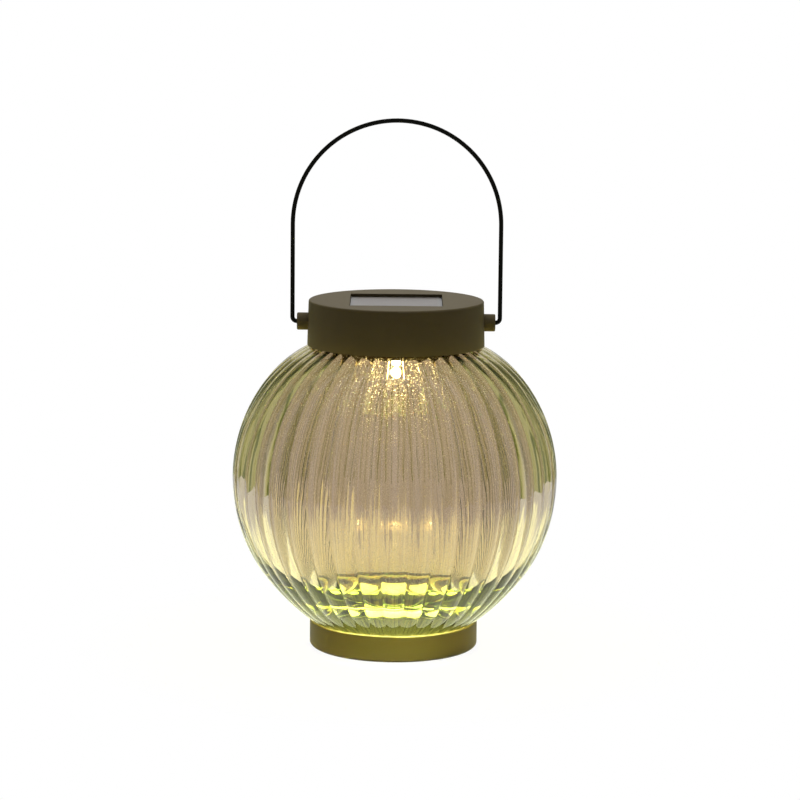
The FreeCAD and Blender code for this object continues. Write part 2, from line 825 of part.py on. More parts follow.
def switch_body():
    half_x = switch_length / 2
    half_y = switch_width / 2
    shell = middle_block(half_x, half_y, switch_bottom_z, pcb_bottom_z, y=switch_y)
    inside_high_z = pcb_bottom_z - switch_shell
    inside_low_z = switch_bottom_z + switch_shell
    inside_half_x = half_x - switch_shell
    inside_half_y = half_y - switch_shell
    inside = middle_block(inside_half_x, inside_half_y, inside_low_z, inside_high_z, y=switch_y)
    slot_low_z = switch_bottom_z - cut_margin
    slot = middle_block(knob_slot_half_x, knob_slot_half_y, slot_low_z, inside_high_z, y=switch_y)
    return shell.cut([inside, slot])


def switch_slider():
    """The carriage inside the switch and its knob through the plug's floor, at the on end of its travel."""
    x = -switch_travel / 2
    low_z = switch_bottom_z + switch_shell + running_gap
    half_y = switch_width / 2 - switch_shell - running_gap
    carriage = middle_block(slider_length / 2, half_y, low_z, low_z + slider_height, x, switch_y)
    half_knob = knob_side / 2
    knob_low_z = plug_bottom_z - knob_proud
    knob = middle_block(half_knob, half_knob, knob_low_z, low_z + slider_height, x, switch_y)
    return joined([carriage, knob])


# The leads: from the panel down to the board, and from the two contacts to the board.
def panel_leads():
    leads = []
    for side in (-1, 1):
        x = side * panel_lead_spacing / 2
        shifted_x = x + side * panel_lead_shift
        middle_z = (board_bottom_z + pcb_top_z) / 2
        points = [
            Vector(x, panel_lead_y, board_bottom_z),
            Vector(x, panel_lead_y, middle_z),
            Vector(shifted_x, panel_lead_y, middle_z),
            Vector(shifted_x, panel_lead_y, pcb_top_z),
        ]
        bend = min(panel_lead_bend, panel_lead_shift / 2 - running_gap)
        leads.append(round_wire(rounded_edges(points, [0, bend, bend, 0], False), lead_radius))
    return group(leads)


def battery_leads():
    lead_z = bay_top_z + bay_roof + tab_height / 2
    start_x = bay_half_length - contact_thickness - tab_width
    leads = []
    for side in (-1, 1):
        points = [
            Vector(side * (bay_half_length - contact_thickness), bay_y, lead_z),
            Vector(side * start_x, bay_y, lead_z),
            Vector(side * battery_lead_x, battery_lead_y, lead_z),
            Vector(side * battery_lead_x, battery_lead_y, pcb_top_z),
        ]
        bends = [0, battery_lead_bend, battery_lead_bend, 0]
        leads.append(round_wire(rounded_edges(points, bends, False), lead_radius))
    return group(leads)


pieces = [
    glass_globe,
    base_cup,
    base_bond,
    foot_pad,
    cap_shell,
    bail_handle,
    solar_cover,
    solar_cells,
    solar_board,
    panel_tape,
    lower_housing,
    lid_seal,
    housing_screws,
    battery_cell,
    battery_spring,
    battery_contact,
    battery_door,
    battery_door_screws,
    circuit_board,
    driver_chip,
    inductor,
    led_lens,
    led_leads,
    switch_body,
    switch_slider,
    panel_leads,
    battery_leads,
]

os.makedirs("parts", exist_ok=True)
for piece in pieces:
    shape = piece()
    shape.exportStep(f"parts/{piece.__name__}.step")
    box = shape.BoundBox
    print(
        f"{piece.__name__}: {len(shape.Solids)} solid, valid {shape.isValid()}, {shape.Volume:.1f} mm3, "
        f"x {box.XMin:.2f} {box.XMax:.2f}, y {box.YMin:.2f} {box.YMax:.2f}, z {box.ZMin:.2f} {box.ZMax:.2f}"
    )
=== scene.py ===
import math

import bpy
from mathutils import Matrix, Vector


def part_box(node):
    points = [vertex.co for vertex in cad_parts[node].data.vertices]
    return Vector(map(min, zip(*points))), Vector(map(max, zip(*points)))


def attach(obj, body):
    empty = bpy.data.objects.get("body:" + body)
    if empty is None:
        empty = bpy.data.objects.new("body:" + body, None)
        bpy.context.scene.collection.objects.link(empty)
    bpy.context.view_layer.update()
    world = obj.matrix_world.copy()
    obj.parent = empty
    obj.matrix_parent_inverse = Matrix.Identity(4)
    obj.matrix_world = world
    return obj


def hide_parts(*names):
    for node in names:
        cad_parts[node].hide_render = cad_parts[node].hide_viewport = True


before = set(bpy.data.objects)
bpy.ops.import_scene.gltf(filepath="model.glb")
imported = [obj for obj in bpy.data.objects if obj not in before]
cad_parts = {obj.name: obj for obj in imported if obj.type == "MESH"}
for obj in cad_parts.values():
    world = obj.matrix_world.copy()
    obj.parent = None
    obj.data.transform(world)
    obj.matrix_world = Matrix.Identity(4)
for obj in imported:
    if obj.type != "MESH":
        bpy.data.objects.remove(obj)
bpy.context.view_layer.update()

# Foot pad
# A ring of black closed-cell foam under the base cup, die-cut from sheet and stuck in a shallow recess,
# so that the lantern stands softly and doesn't slip.
MM = 0.001


def linear(colour):
    """Linear RGBA of an sRGB hex colour."""
    shares = [int(colour[start:start + 2], 16) / 255 for start in (0, 2, 4)]
    return [s / 12.92 if s <= 0.04045 else ((s + 0.055) / 1.055) ** 2.4 for s in shares] + [1.0]


def add_node(tree, kind, inputs=None, **settings):
    """A node with its settings. An input takes a value, a socket, or a node for its first output."""
    node = tree.nodes.new(kind)
    for name, value in settings.items():
        setattr(node, name, value)
    for key, value in (inputs or {}).items():
        if isinstance(key, int):
            socket = node.inputs[key]
        else:
            socket = next(s for s in node.inputs if s.enabled and s.name == key)
        if isinstance(value, bpy.types.Node):
            value = next(s for s in value.outputs if s.enabled)
        if isinstance(value, bpy.types.NodeSocket):
            tree.links.new(value, socket)
        else:
            socket.default_value = value
    return node


def start_material(name):
    """An empty material, its tree, and the place on the piece in metres."""
    material = bpy.data.materials.new(name)
    material.use_nodes = True
    tree = material.node_tree
    tree.nodes.clear()
    place = add_node(tree, "ShaderNodeTexCoord").outputs["Object"]
    return material, tree, place


def grained_material(name, colours, mottle, grain, relief, roughness, **shader_values):
    """A finish whose colour clouds over the mottle size, with a raised grain of its own size and height."""
    material, tree, place = start_material(name)
    clouds = add_node(tree, "ShaderNodeTexNoise", {"Vector": place, "Scale": 1 / mottle, "Detail": 3})
    colour = add_node(
        tree,
        "ShaderNodeMix",
        {"Factor": clouds, "A": linear(colours[0]), "B": linear(colours[1])},
        data_type="RGBA",
    )
    grains = add_node(tree, "ShaderNodeTexNoise", {"Vector": place, "Scale": 1 / grain, "Detail": 2})
    bump = add_node(tree, "ShaderNodeBump", {"Height": grains, "Distance": relief, "Strength": 0.6})
    gloss = add_node(
        tree,
        "ShaderNodeMapRange",
        {"Value": grains, "To Min": roughness[0], "To Max": roughness[1]},
    )
    inputs = {"Base Color": colour, "Roughness": gloss, "Normal": bump}
    for words, value in shader_values.items():
        inputs[words.replace("_", " ")] = value
    shader = add_node(tree, "ShaderNodeBsdfPrincipled", inputs)
    add_node(tree, "ShaderNodeOutputMaterial", {"Surface": shader})
    return material


def finish_node(material, *nodes):
    """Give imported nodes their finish."""
    for node in nodes:
        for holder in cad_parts[node].material_slots:
            holder.material = material


# Closed-cell EVA foam, skived: dull black with a cut-cell grain of half a millimetre.
foam = grained_material(
    "eva_foam",
    ("17171a", "24231f"),
    mottle=6 * MM,
    grain=0.5 * MM,
    relief=0.08 * MM,
    roughness=(0.85, 0.98),
)
finish_node(foam, "foot_pad", "panel_tape")

# Base cup
# A round cup of olive ABS, injection moulded in one piece with a rounded lower edge. The glass stands in
# it and is glued to its floor.

# Moulded ABS from a spark-eroded tool: an even satin skin with a very fine grain, which softens
# highlights. The grain is drawn at 0.35 mm so that it shows.
olive = grained_material(
    "moulded_olive_abs",
    ("594f3a", "5f5540"),
    mottle=14 * MM,
    grain=0.35 * MM,
    relief=0.012 * MM,
    roughness=(0.52, 0.64),
    Specular_IOR_Level=0.12,
)
finish_node(olive, "base_cup")

# Glass globe
# Tinted soda glass blown into a ribbed mould: rounded ribs outside, an almost plain inside, a thick bottom
# that ends in a plain stem for the base cup, and a plain neck that goes up inside the cap.
base_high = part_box("base_cup")[1]
glass_low, glass_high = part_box("glass_globe")
globe_radius = -glass_low.y  # at the crests, one of which faces the front
globe_wall = 4 * MM
rib_count = 40
rib_depth = 1.5 * MM
steps_per_rib = 14
shoulder_radius = 58 * MM
shoulder_start = math.radians(35)
lower_radius = 112 * MM
lower_start = math.radians(-40)
corner_radius = 38 * MM
corner_start = math.radians(-25)
neck_radius = 36.4 * MM
neck_wall = 4 * MM
neck_round = 1 * MM
neck_ledge = 1.1 * MM  # from the neck out to where the ribs begin
stem_inset = 2.4 * MM  # the stem stands inside the cup's wall
seat_inset = 0.7 * MM  # the ribs end just inside the cup's edge
seat_gap = 0.05 * MM
punt_radius = 24 * MM  # the shallow hollow under the bottom
punt_depth = 3 * MM
quarter_turn = math.pi / 2


def centre_for(radius, joint_angle):
    """Centre, from the globe's own, of an arc that leaves the globe's circle smoothly at an angle."""
    shift = globe_radius - radius
    return shift * math.cos(joint_angle), shift * math.sin(joint_angle)


def rise(radius, out):
    """Height of a circle above its centre at a distance out from it."""
    return math.sqrt(radius**2 - out**2)


def arc(centre_out, centre_z, radius, start, end, steps):
    """Points along an arc, both ends included, as (out, up)."""
    turns = [start + (end - start) * i / steps for i in range(steps + 1)]
    return [(centre_out + radius * math.cos(t), centre_z + radius * math.sin(t)) for t in turns]


def run(start, end, steps):
    """Points along a straight run, both ends included."""
    shares = [i / steps for i in range(steps + 1)]
    return [tuple(a + (b - a) * share for a, b in zip(start, end)) for share in shares]


valley_share = 1 - rib_depth / globe_radius
rib_half_angle = math.pi / rib_count
rib_centre_share = (1 - valley_share**2) / (2 * (1 - valley_share * math.cos(rib_half_angle)))
stem_radius = base_high.x - stem_inset
seat_radius = base_high.x - seat_inset
seat_z = base_high.z + seat_gap
lower_out, lower_up = centre_for(lower_radius, lower_start)
globe_z = seat_z - lower_up + rise(lower_radius, seat_radius - lower_out)
lower_z = globe_z + lower_up
seat_angle = math.asin((seat_z - lower_z) / lower_radius)
shoulder_out, shoulder_up = centre_for(shoulder_radius, shoulder_start)
shoulder_z = globe_z + shoulder_up
rib_top_z = shoulder_z + rise(shoulder_radius, neck_radius + neck_ledge - shoulder_out)
top_angle = math.asin((rib_top_z - shoulder_z) / shoulder_radius)
neck_bore_radius = neck_radius - neck_wall
neck_round_z = glass_high.z - neck_round
neck_edge = neck_radius - neck_round
mouth_edge = neck_bore_radius + neck_round
inner_radius = globe_radius - globe_wall
inner_shoulder = shoulder_radius - globe_wall
inner_neck_angle = math.acos((neck_bore_radius - shoulder_out) / inner_shoulder)
corner_shift = inner_radius - corner_radius
corner_out = corner_shift * math.cos(corner_start)
corner_z = globe_z + corner_shift * math.sin(corner_start)
floor_z = corner_z - corner_radius
punt_ball = (punt_radius**2 + punt_depth**2) / (2 * punt_depth)
punt_edge = quarter_turn - math.asin(punt_radius / punt_ball)
punt_z = glass_low.z + punt_depth - punt_ball

# The shares of the rib's shape and of the waviness that a stretch of section can have
plain = (0, 0)
ribbed = (1, 0)
wavy = (0, 1)
wavier = (0, 2)
# The wall's section, in stretches from under the middle, up the outside, over the neck and down the inside
globe_section = [
    (arc(0, punt_z, punt_ball, quarter_turn, punt_edge, steps=6), *plain),
    ([(stem_radius, glass_low.z), (stem_radius, seat_z)], *plain),
    (arc(lower_out, lower_z, lower_radius, seat_angle, lower_start, steps=20), *ribbed),
    (arc(0, globe_z, globe_radius, lower_start, shoulder_start, steps=42)[1:], *ribbed),
    (arc(shoulder_out, shoulder_z, shoulder_radius, shoulder_start, top_angle, steps=20)[1:], *ribbed),
    ([(neck_radius, rib_top_z)], *plain),
    (arc(neck_edge, neck_round_z, neck_round, 0, quarter_turn, steps=3), *plain),
    (arc(mouth_edge, neck_round_z, neck_round, quarter_turn, 2 * quarter_turn, steps=3), *plain),
    (arc(shoulder_out, shoulder_z, inner_shoulder, inner_neck_angle, shoulder_start, steps=18), *wavy),
    (arc(0, globe_z, inner_radius, shoulder_start, corner_start, steps=30)[1:], *wavy),
    (arc(corner_out, corner_z, corner_radius, corner_start, -quarter_turn, steps=20)[1:], *wavier),
    (run((corner_out, floor_z), (0, floor_z), steps=9)[1:], *wavier),
]


def section_piece(name, section):
    """An object that holds a section's points, each with its share of the ribs and of the waves."""
    profile = bpy.data.meshes.new(name)
    profile.from_pydata([(out, 0, up) for points, rib, wave in section for out, up in points], [], [])
    rib_share = profile.attributes.new("rib_share", "FLOAT", "POINT")
    rib_share.data.foreach_set("value", [rib for points, rib, wave in section for point in points])
    wave_share = profile.attributes.new("wave_share", "FLOAT", "POINT")
    wave_share.data.foreach_set("value", [wave for points, rib, wave in section for point in points])
    piece = bpy.data.objects.new(name, profile)
    bpy.context.scene.collection.objects.link(piece)
    return piece


def turned_nodes():
    """Turns a section about the upright axis, with a rounded rib at every step of the rib count.

    A sheet of points has a column for each step of the turn and a row for each point of the section.
    """
    axis_reach = 1 * MM  # points nearer to the axis than this stay unwaved, so that they close there
    merge_reach = 0.01 * MM
    tree = bpy.data.node_groups.new("turned_section", "GeometryNodeTree")
    sockets = (
        ("Section", "NodeSocketGeometry"),
        ("Ribs", "NodeSocketInt"),
        ("Steps", "NodeSocketInt"),
        ("Rib Centre", "NodeSocketFloat"),
        ("Wave Height", "NodeSocketFloat"),
        ("Wave Length", "NodeSocketFloat"),
        ("Wave Stretch", "NodeSocketFloat"),
        ("Seed", "NodeSocketFloat"),
        ("Finish", "NodeSocketMaterial"),
    )
    for name, kind in sockets:
        tree.interface.new_socket(name, in_out="INPUT", socket_type=kind)
    tree.interface.new_socket("Piece", in_out="OUTPUT", socket_type="NodeSocketGeometry")
    given = add_node(tree, "NodeGroupInput").outputs
    section = given["Section"]
    values = {name: given[name] for name, kind in sockets}
    values["rows"] = add_node(
        tree, "GeometryNodeAttributeDomainSize", {"Geometry": section}, component="MESH"
    )
    values["index"] = add_node(tree, "GeometryNodeInputIndex")

    # What is read from the section's row and from the waves: their row and place are linked further down
    place = add_node(tree, "GeometryNodeInputPosition")
    point = add_node(
        tree, "GeometryNodeSampleIndex", {"Geometry": section, "Value": place}, data_type="FLOAT_VECTOR"
    )
    split = add_node(tree, "ShaderNodeSeparateXYZ", {"Vector": point}).outputs
    values["out"] = split["X"]
    values["height"] = split["Z"]
    row_readers = [point]
    for share in ("rib_share", "wave_share"):
        stored = add_node(tree, "GeometryNodeInputNamedAttribute", {"Name": share}, data_type="FLOAT")
        values[share] = add_node(tree, "GeometryNodeSampleIndex", {"Geometry": section, "Value": stored})
        row_readers.append(values[share])
    waves = add_node(
        tree, "ShaderNodeTexNoise", {"W": given["Seed"], "Detail": 1.0}, noise_dimensions="4D"
    )
    values["waves"] = waves

    # Each line names a new value, its operation, and the values or numbers that go in
    formulas = (
        ("columns", "ADD", "Steps", 1),
        ("middle of index", "ADD", "index", 0.5),
        ("share of rows", "DIVIDE", "middle of index", "rows"),
        ("column", "FLOOR", "share of rows"),
        ("rows before", "MULTIPLY", "column", "rows"),
        ("row", "SUBTRACT", "index", "rows before"),
        ("turn", "DIVIDE", "column", "Steps"),
        ("angle", "MULTIPLY_ADD", "turn", 2 * math.pi, -math.pi / 2),
        ("cosine", "COSINE", "angle"),
        ("sine", "SINE", "angle"),
        # The angle from the nearest crest, and the rib's arc there for a crest radius of 1
        ("rib turn", "MULTIPLY", "turn", "Ribs"),
        ("nearest crest", "ROUND", "rib turn"),
        ("off crest", "SUBTRACT", "rib turn", "nearest crest"),
        ("off crest turned", "MULTIPLY", "off crest", 2 * math.pi),
        ("off angle", "DIVIDE", "off crest turned", "Ribs"),
        ("off sine", "SINE", "off angle"),
        ("off cosine", "COSINE", "off angle"),
        ("arc radius", "SUBTRACT", 1.0, "Rib Centre"),
        ("arc squared", "POWER", "arc radius", 2.0),
        ("across", "MULTIPLY", "Rib Centre", "off sine"),
        ("across squared", "POWER", "across", 2.0),
        ("bulge squared", "SUBTRACT", "arc squared", "across squared"),
        ("bulge", "SQRT", "bulge squared"),
        ("reach", "MULTIPLY_ADD", "Rib Centre", "off cosine", "bulge"),
        ("rib height", "SUBTRACT", "reach", 1.0),
        ("ribbed share", "MULTIPLY_ADD", "rib height", "rib_share", 1.0),
        ("ribbed out", "MULTIPLY", "out", "ribbed share"),
        ("ribbed x", "MULTIPLY", "ribbed out", "cosine"),
        ("ribbed y", "MULTIPLY", "ribbed out", "sine"),
        # The waves, longer up and down than round the piece, push a point outwards and up
        ("drawn out height", "DIVIDE", "height", "Wave Stretch"),
        ("wave scale", "DIVIDE", 1.0, "Wave Length"),
        ("wave", "SUBTRACT", "waves", 0.5),
        ("push", "MULTIPLY", "wave", "Wave Height"),
        ("shared push", "MULTIPLY", "push", "wave_share"),
        ("off axis", "GREATER_THAN", "ribbed out", axis_reach),
        ("lift", "MULTIPLY", "shared push", "off axis"),
        ("waved out", "ADD", "lift", "ribbed out"),
        ("x", "MULTIPLY", "waved out", "cosine"),
        ("y", "MULTIPLY", "waved out", "sine"),
        ("z", "ADD", "lift", "height"),
        ("is inside", "SIGN", "wave_share"),
    )
    for name, operation, *terms in formulas:
        sources = {i: values.get(term, term) for i, term in enumerate(terms)}
        values[name] = add_node(tree, "ShaderNodeMath", sources, operation=operation)

    for reader in row_readers:
        tree.links.new(values["row"].outputs[0], reader.inputs["Index"])
    unwaved = add_node(
        tree,
        "ShaderNodeCombineXYZ",
        {"X": values["ribbed x"], "Y": values["ribbed y"], "Z": values["drawn out height"]},
    )
    tree.links.new(unwaved.outputs[0], waves.inputs["Vector"])
    tree.links.new(values["wave scale"].outputs[0], waves.inputs["Scale"])

    sheet = add_node(
        tree, "GeometryNodeMeshGrid", {"Vertices X": values["columns"], "Vertices Y": values["rows"]}
    )
    waved = add_node(tree, "ShaderNodeCombineXYZ", {"X": values["x"], "Y": values["y"], "Z": values["z"]})
    shaped = add_node(tree, "GeometryNodeSetPosition", {"Geometry": sheet, "Position": waved})
    marked = add_node(
        tree,
        "GeometryNodeStoreNamedAttribute",
        {"Geometry": shaped, "Name": "inside", "Value": values["is inside"]},
    )
    closed = add_node(tree, "GeometryNodeMergeByDistance", {"Geometry": marked, "Distance": merge_reach})
    smooth = add_node(tree, "GeometryNodeSetShadeSmooth", {"Geometry": closed})
    real = add_node(tree, "GeometryNodeRealizeInstances", {"Geometry": smooth})
    finished = add_node(tree, "GeometryNodeSetMaterial", {"Geometry": real, "Material": given["Finish"]})
    add_node(tree, "NodeGroupOutput", {"Piece": finished})
    return tree


def made_mesh(piece, tree, values):
    """Run a geometry tree on a piece with named values, and leave the result as a plain mesh."""
    modifier = piece.modifiers.new("shape", "NODES")
    modifier.node_group = tree
    for item in tree.interface.items_tree:
        if item.in_out == "INPUT" and item.name in values:
            modifier[item.identifier] = values[item.name]
    ready = piece.evaluated_get(bpy.context.evaluated_depsgraph_get())
    mesh = bpy.data.meshes.new_from_object(ready)
    piece.modifiers.clear()
    piece.data = mesh
    return piece


def blown_glass():
    """Soda glass with a taupe tint, blown into a mould: fire polished and clear, with grit on the inside.

    Long ways through the glass look green, and rough specks of the grit glitter round the LED. The grit is
    drawn at 0.45 mm so that it shows. The light of lamps is tinted as it comes through.
    """
    material, tree, place = start_material("mould_blown_soda_glass")
    cloud_size = 25 * MM
    grit_size = 0.45 * MM
    clouds = add_node(tree, "ShaderNodeTexNoise", {"Vector": place, "Scale": 1 / cloud_size, "Detail": 2})
    tint = add_node(
        tree,
        "ShaderNodeMix",
        {"Factor": clouds, "A": linear("d1c1b2"), "B": linear("d6c7b9")},
        data_type="RGBA",
    )
    grit = add_node(tree, "ShaderNodeTexNoise", {"Vector": place, "Scale": 1 / grit_size, "Detail": 1})
    specks = add_node(
        tree,
        "ShaderNodeMapRange",
        {"Value": grit, "From Min": 0.65, "From Max": 0.71, "To Min": 0.0, "To Max": 0.4},
    )
    inside = add_node(tree, "ShaderNodeAttribute", attribute_name="inside").outputs["Fac"]
    roughness = add_node(tree, "ShaderNodeMath", {0: specks, 1: inside}, operation="MULTIPLY")
    glass = add_node(
        tree,
        "ShaderNodeBsdfPrincipled",
        {"Base Color": tint, "Roughness": roughness, "IOR": 1.5, "Transmission Weight": 1.0},
    )
    clear = add_node(tree, "ShaderNodeBsdfTransparent", {"Color": linear("ccdcac")})
    path = add_node(tree, "ShaderNodeLightPath").outputs
    mixed = add_node(tree, "ShaderNodeMixShader", {0: path["Is Shadow Ray"], 1: glass, 2: clear})
    depth = add_node(tree, "ShaderNodeVolumeAbsorption", {"Color": linear("d0dc58"), "Density": 28.0})
    add_node(tree, "ShaderNodeOutputMaterial", {"Surface": mixed, "Volume": depth})
    return material


turned_section = turned_nodes()
globe = made_mesh(
    section_piece("ribbed_globe", globe_section),
    turned_section,
    {
        "Ribs": rib_count,
        "Steps": rib_count * steps_per_rib,
        "Rib Centre": rib_centre_share,
        "Wave Height": 0.16 * MM,
        "Wave Length": 5 * MM,
        "Wave Stretch": 2.0,
        "Seed": 4.0,
        "Finish": blown_glass(),
    },
)
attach(globe, "vessel")
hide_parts("glass_globe")

# Base bond
# Neutral-cure silicone that fixes the glass in its cup: a bead round the edge of the stem, and a dab in
# front of the middle, pressed up into the hollow. It wets the glass, so it shows through the thick bottom.
bond_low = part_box("base_bond")[0]
wetting = 0.08 * MM  # the silicone's skin lies this far inside the glass's skin
bead_gap = 0.1 * MM  # from the bead to the stem's side
bead_inner = 28.5 * MM
bead_outer = stem_radius - bead_gap
bead_top_z = glass_low.z + wetting
dab_radius = 17 * MM
dab_flare = 1 * MM  # wider at the cup's floor
dab_forward = 10 * MM
dab_edge = quarter_turn - math.asin(dab_radius / punt_ball)
smeared = (0, 0.5)
spread = (0, 1.5)
bead_section = [
    ([(bead_inner, bond_low.z), (bead_inner, bead_top_z)], *smeared),
    ([(bead_outer, bead_top_z), (bead_outer, bond_low.z), (bead_inner, bond_low.z)], *plain),
]
dab_section = [
    (arc(0, punt_z, punt_ball + wetting, quarter_turn, dab_edge, steps=8), *plain),
    ([(dab_radius + dab_flare, bond_low.z)], *spread),
    ([(0, bond_low.z)], *plain),
]
# Cured silicone, smeared as it was pressed out: milky, a little soft-lit, with a dull uneven skin.
silicone = grained_material(
    "milky_silicone",
    ("e2dfc8", "f2efdc"),
    mottle=8 * MM,
    grain=1.5 * MM,
    relief=0.1 * MM,
    roughness=(0.3, 0.45),
    Subsurface_Weight=0.2,
    Subsurface_Scale=2 * MM,
)


def silicone_piece(name, section):
    """A turned piece of silicone with an uneven edge."""
    piece = made_mesh(
        section_piece(name, section),
        turned_section,
        {
            "Ribs": rib_count,
            "Steps": 120,
            "Rib Centre": rib_centre_share,
            "Wave Height": 3 * MM,
            "Wave Length": 9 * MM,
            "Wave Stretch": 1.0,
            "Seed": 9.0,
            "Finish": silicone,
        },
    )
    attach(piece, "vessel")
    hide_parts("base_bond")
    return piece


silicone_piece("silicone_bead", bead_section)
dab = silicone_piece("silicone_dab", dab_section)
# The dab went down in front of the middle, and its top follows the hollow there.
for point in dab.data.vertices:
    point.co.y -= dab_forward
    if point.co.z > glass_low.z - wetting:
        point.co.z = punt_z + rise(punt_ball + wetting, math.hypot(point.co.x, point.co.y))
finish_node(silicone, "lid_seal")

# Plug, its screws and the battery's contacts
# The moulded cup of olive ABS that goes down into the glass neck and carries the electronics. Three screws
# hold it up in the cap, and its battery bay has sprung steel contacts and a door with two screws.
finish_node(olive, "lower_housing", "battery_door")
# Zinc plated steel, drawn and stamped: bright grey with faint drawing marks.
steel = grained_material(
    "zinc_plated_steel",
    ("a9a9a3", "c4c3bb"),
    mottle=3 * MM,
    grain=0.3 * MM,
    relief=0.005 * MM,
    roughness=(0.22, 0.38),
    Metallic=1.0,
)
finish_node(
    steel,
    "housing_screws",
    "battery_door_screws",
    "battery_spring",
    "battery_contact",
    "led_leads",
    "switch_body",
)

# Battery, board, chip, inductor, switch and leads
# One rechargeable cell in a shrink sleeve, and a small board with a driver chip, an inductor and a slide
# switch soldered to it, joined by insulated leads.

# PVC sleeve, shrunk on with heat: smooth green gloss with a slight ripple.
sleeve = grained_material(
    "pvc_shrink_sleeve",
    ("2c6b39", "2f7540"),
    mottle=9 * MM,
    grain=1.2 * MM,
    relief=0.02 * MM,
    roughness=(0.2, 0.32),
)
finish_node(sleeve, "battery_cell")
# Glass-fibre laminate under a printed green resist: half gloss, with a trace of the weave's grain.
laminate = grained_material(
    "solder_resist_laminate",
    ("174426", "1d5230"),
    mottle=5 * MM,
    grain=0.4 * MM,
    relief=0.01 * MM,
    roughness=(0.28, 0.42),
)
finish_node(laminate, "circuit_board")
# Filled epoxy, transfer moulded: matt black with a fine even grain.
epoxy = grained_material(
    "moulded_black_epoxy",
    ("1a1a1b", "232324"),
    mottle=2 * MM,
    grain=0.2 * MM,
    relief=0.01 * MM,
    roughness=(0.45, 0.6),
)
finish_node(epoxy, "driver_chip", "inductor", "switch_slider")
# PVC insulation, extruded over the wire: an even soft sheen.
insulation = grained_material(
    "pvc_lead_insulation",
    ("7f1712", "94201a"),
    mottle=4 * MM,
    grain=0.4 * MM,
    relief=0.01 * MM,
    roughness=(0.35, 0.45),
)
finish_node(insulation, "panel_leads", "battery_leads")

# LED
# A round 5 mm LED, cast in clear epoxy round its chip and lit. Its leads hold it on the board, and it looks
# down through the middle of the plug.
led_low, led_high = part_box("led_lens")
beam_drop = 1 * MM  # under the LED's tip
beam_width = math.radians(32)
beam_lean = math.radians(7)
beam_size = 0.5 * MM
glow_size = led_high.x
glow_gap = 0.2 * MM


def lit_epoxy():
    """Clear cast epoxy, filled with warm white light: brightest at the tip, where the lens gathers it."""
    material, tree, place = start_material("lit_clear_epoxy")
    height = add_node(tree, "ShaderNodeSeparateXYZ", {"Vector": place}).outputs["Z"]
    glow = add_node(
        tree,
        "ShaderNodeMapRange",
        {"Value": height, "From Min": led_low.z, "From Max": led_high.z, "To Min": 400.0, "To Max": 150.0},
    )
    shader = add_node(
        tree,
        "ShaderNodeBsdfPrincipled",
        {
            "Base Color": linear("fff6d8"),
            "Roughness": 0.2,
            "Emission Color": linear("fff0bc"),
            "Emission Strength": glow,
        },
    )
    add_node(tree, "ShaderNodeOutputMaterial", {"Surface": shader})
    material.cycles.emission_sampling = "FRONT"
    return material


finish_node(lit_epoxy(), "led_lens")
# The lens throws a narrow beam down towards the dab of silicone, and some light sideways into the globe.
# The two lamps are at different heights, because in one place they would hide each other.
beam_light = bpy.data.lights.new("led_beam", "SPOT")
beam_light.energy = 9.0
beam_light.color = linear("fff8e6")[:3]
beam_light.spot_size = beam_width
beam_light.spot_blend = 0.6
beam_light.shadow_soft_size = beam_size
beam = bpy.data.objects.new("led_beam", beam_light)
beam.location = (0, 0, led_low.z - beam_drop)
beam.rotation_euler.x = -beam_lean
bpy.context.scene.collection.objects.link(beam)
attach(beam, "lid")
glow_light = bpy.data.lights.new("led_glow", "POINT")
glow_light.energy = 1.5
glow_light.color = linear("ffee9e")[:3]
glow_light.shadow_soft_size = glow_size
glow = bpy.data.objects.new("led_glow", glow_light)
glow.location = (0, 0, led_low.z - glow_size - glow_gap)
bpy.context.scene.collection.objects.link(glow)
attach(glow, "lid")

# Cap
# The lid's cap of the same olive ABS, injection moulded in one piece with the two bosses that the bail
# turns in and with a square recess for the solar panel.
finish_node(olive, "cap_shell")

# Solar panel
# A square panel on foam tape in the cap's recess: strips of dark silicon on a black board, laminated under
# a clear cover.

# Crystalline silicon, sawn, etched and coated: dark brown cells, painted lighter to stand in for the
# cover's reflection at low angles (painted reflection), with a soft, slightly cloudy sheen.
silicon = grained_material(
    "silicon_with_painted_reflection",
    ("5e4d40", "6a594b"),
    mottle=3 * MM,
    grain=0.6 * MM,
    relief=0.004 * MM,
    roughness=(0.25, 0.4),
)
finish_node(silicon, "solar_cells")
# Glass-fibre laminate under a printed black resist: half gloss, like the circuit board's.
black_laminate = grained_material(
    "black_resist_laminate",
    ("1d1a16", "28241f"),
    mottle=5 * MM,
    grain=0.4 * MM,
    relief=0.01 * MM,
    roughness=(0.3, 0.45),
)
finish_node(black_laminate, "solar_board")


def laminated_cover():
    """Clear PET, laminated with a fine matt print of the press sheet: soft reflections at low angles."""
    material, tree, place = start_material("clear_pet_cover")
    print_size = 0.4 * MM
    print_relief = 0.02 * MM
    grains = add_node(tree, "ShaderNodeTexNoise", {"Vector": place, "Scale": 1 / print_size, "Detail": 2})
    bump = add_node(tree, "ShaderNodeBump", {"Height": grains, "Distance": print_relief, "Strength": 0.5})
    gloss = add_node(tree, "ShaderNodeMapRange", {"Value": grains, "To Min": 0.25, "To Max": 0.4})
    cover = add_node(
        tree,
        "ShaderNodeBsdfPrincipled",
        {
            "Base Color": linear("efe9e0"),
            "Roughness": gloss,
            "IOR": 1.45,
            "Transmission Weight": 1.0,
            "Normal": bump,
        },
    )
    clear = add_node(tree, "ShaderNodeBsdfTransparent", {"Color": linear("f4f0ea")})
    path = add_node(tree, "ShaderNodeLightPath").outputs
    mixed = add_node(tree, "ShaderNodeMixShader", {0: path["Is Shadow Ray"], 1: cover, 2: clear})
    add_node(tree, "ShaderNodeOutputMaterial", {"Surface": mixed})
    return material


finish_node(laminated_cover(), "solar_cover")

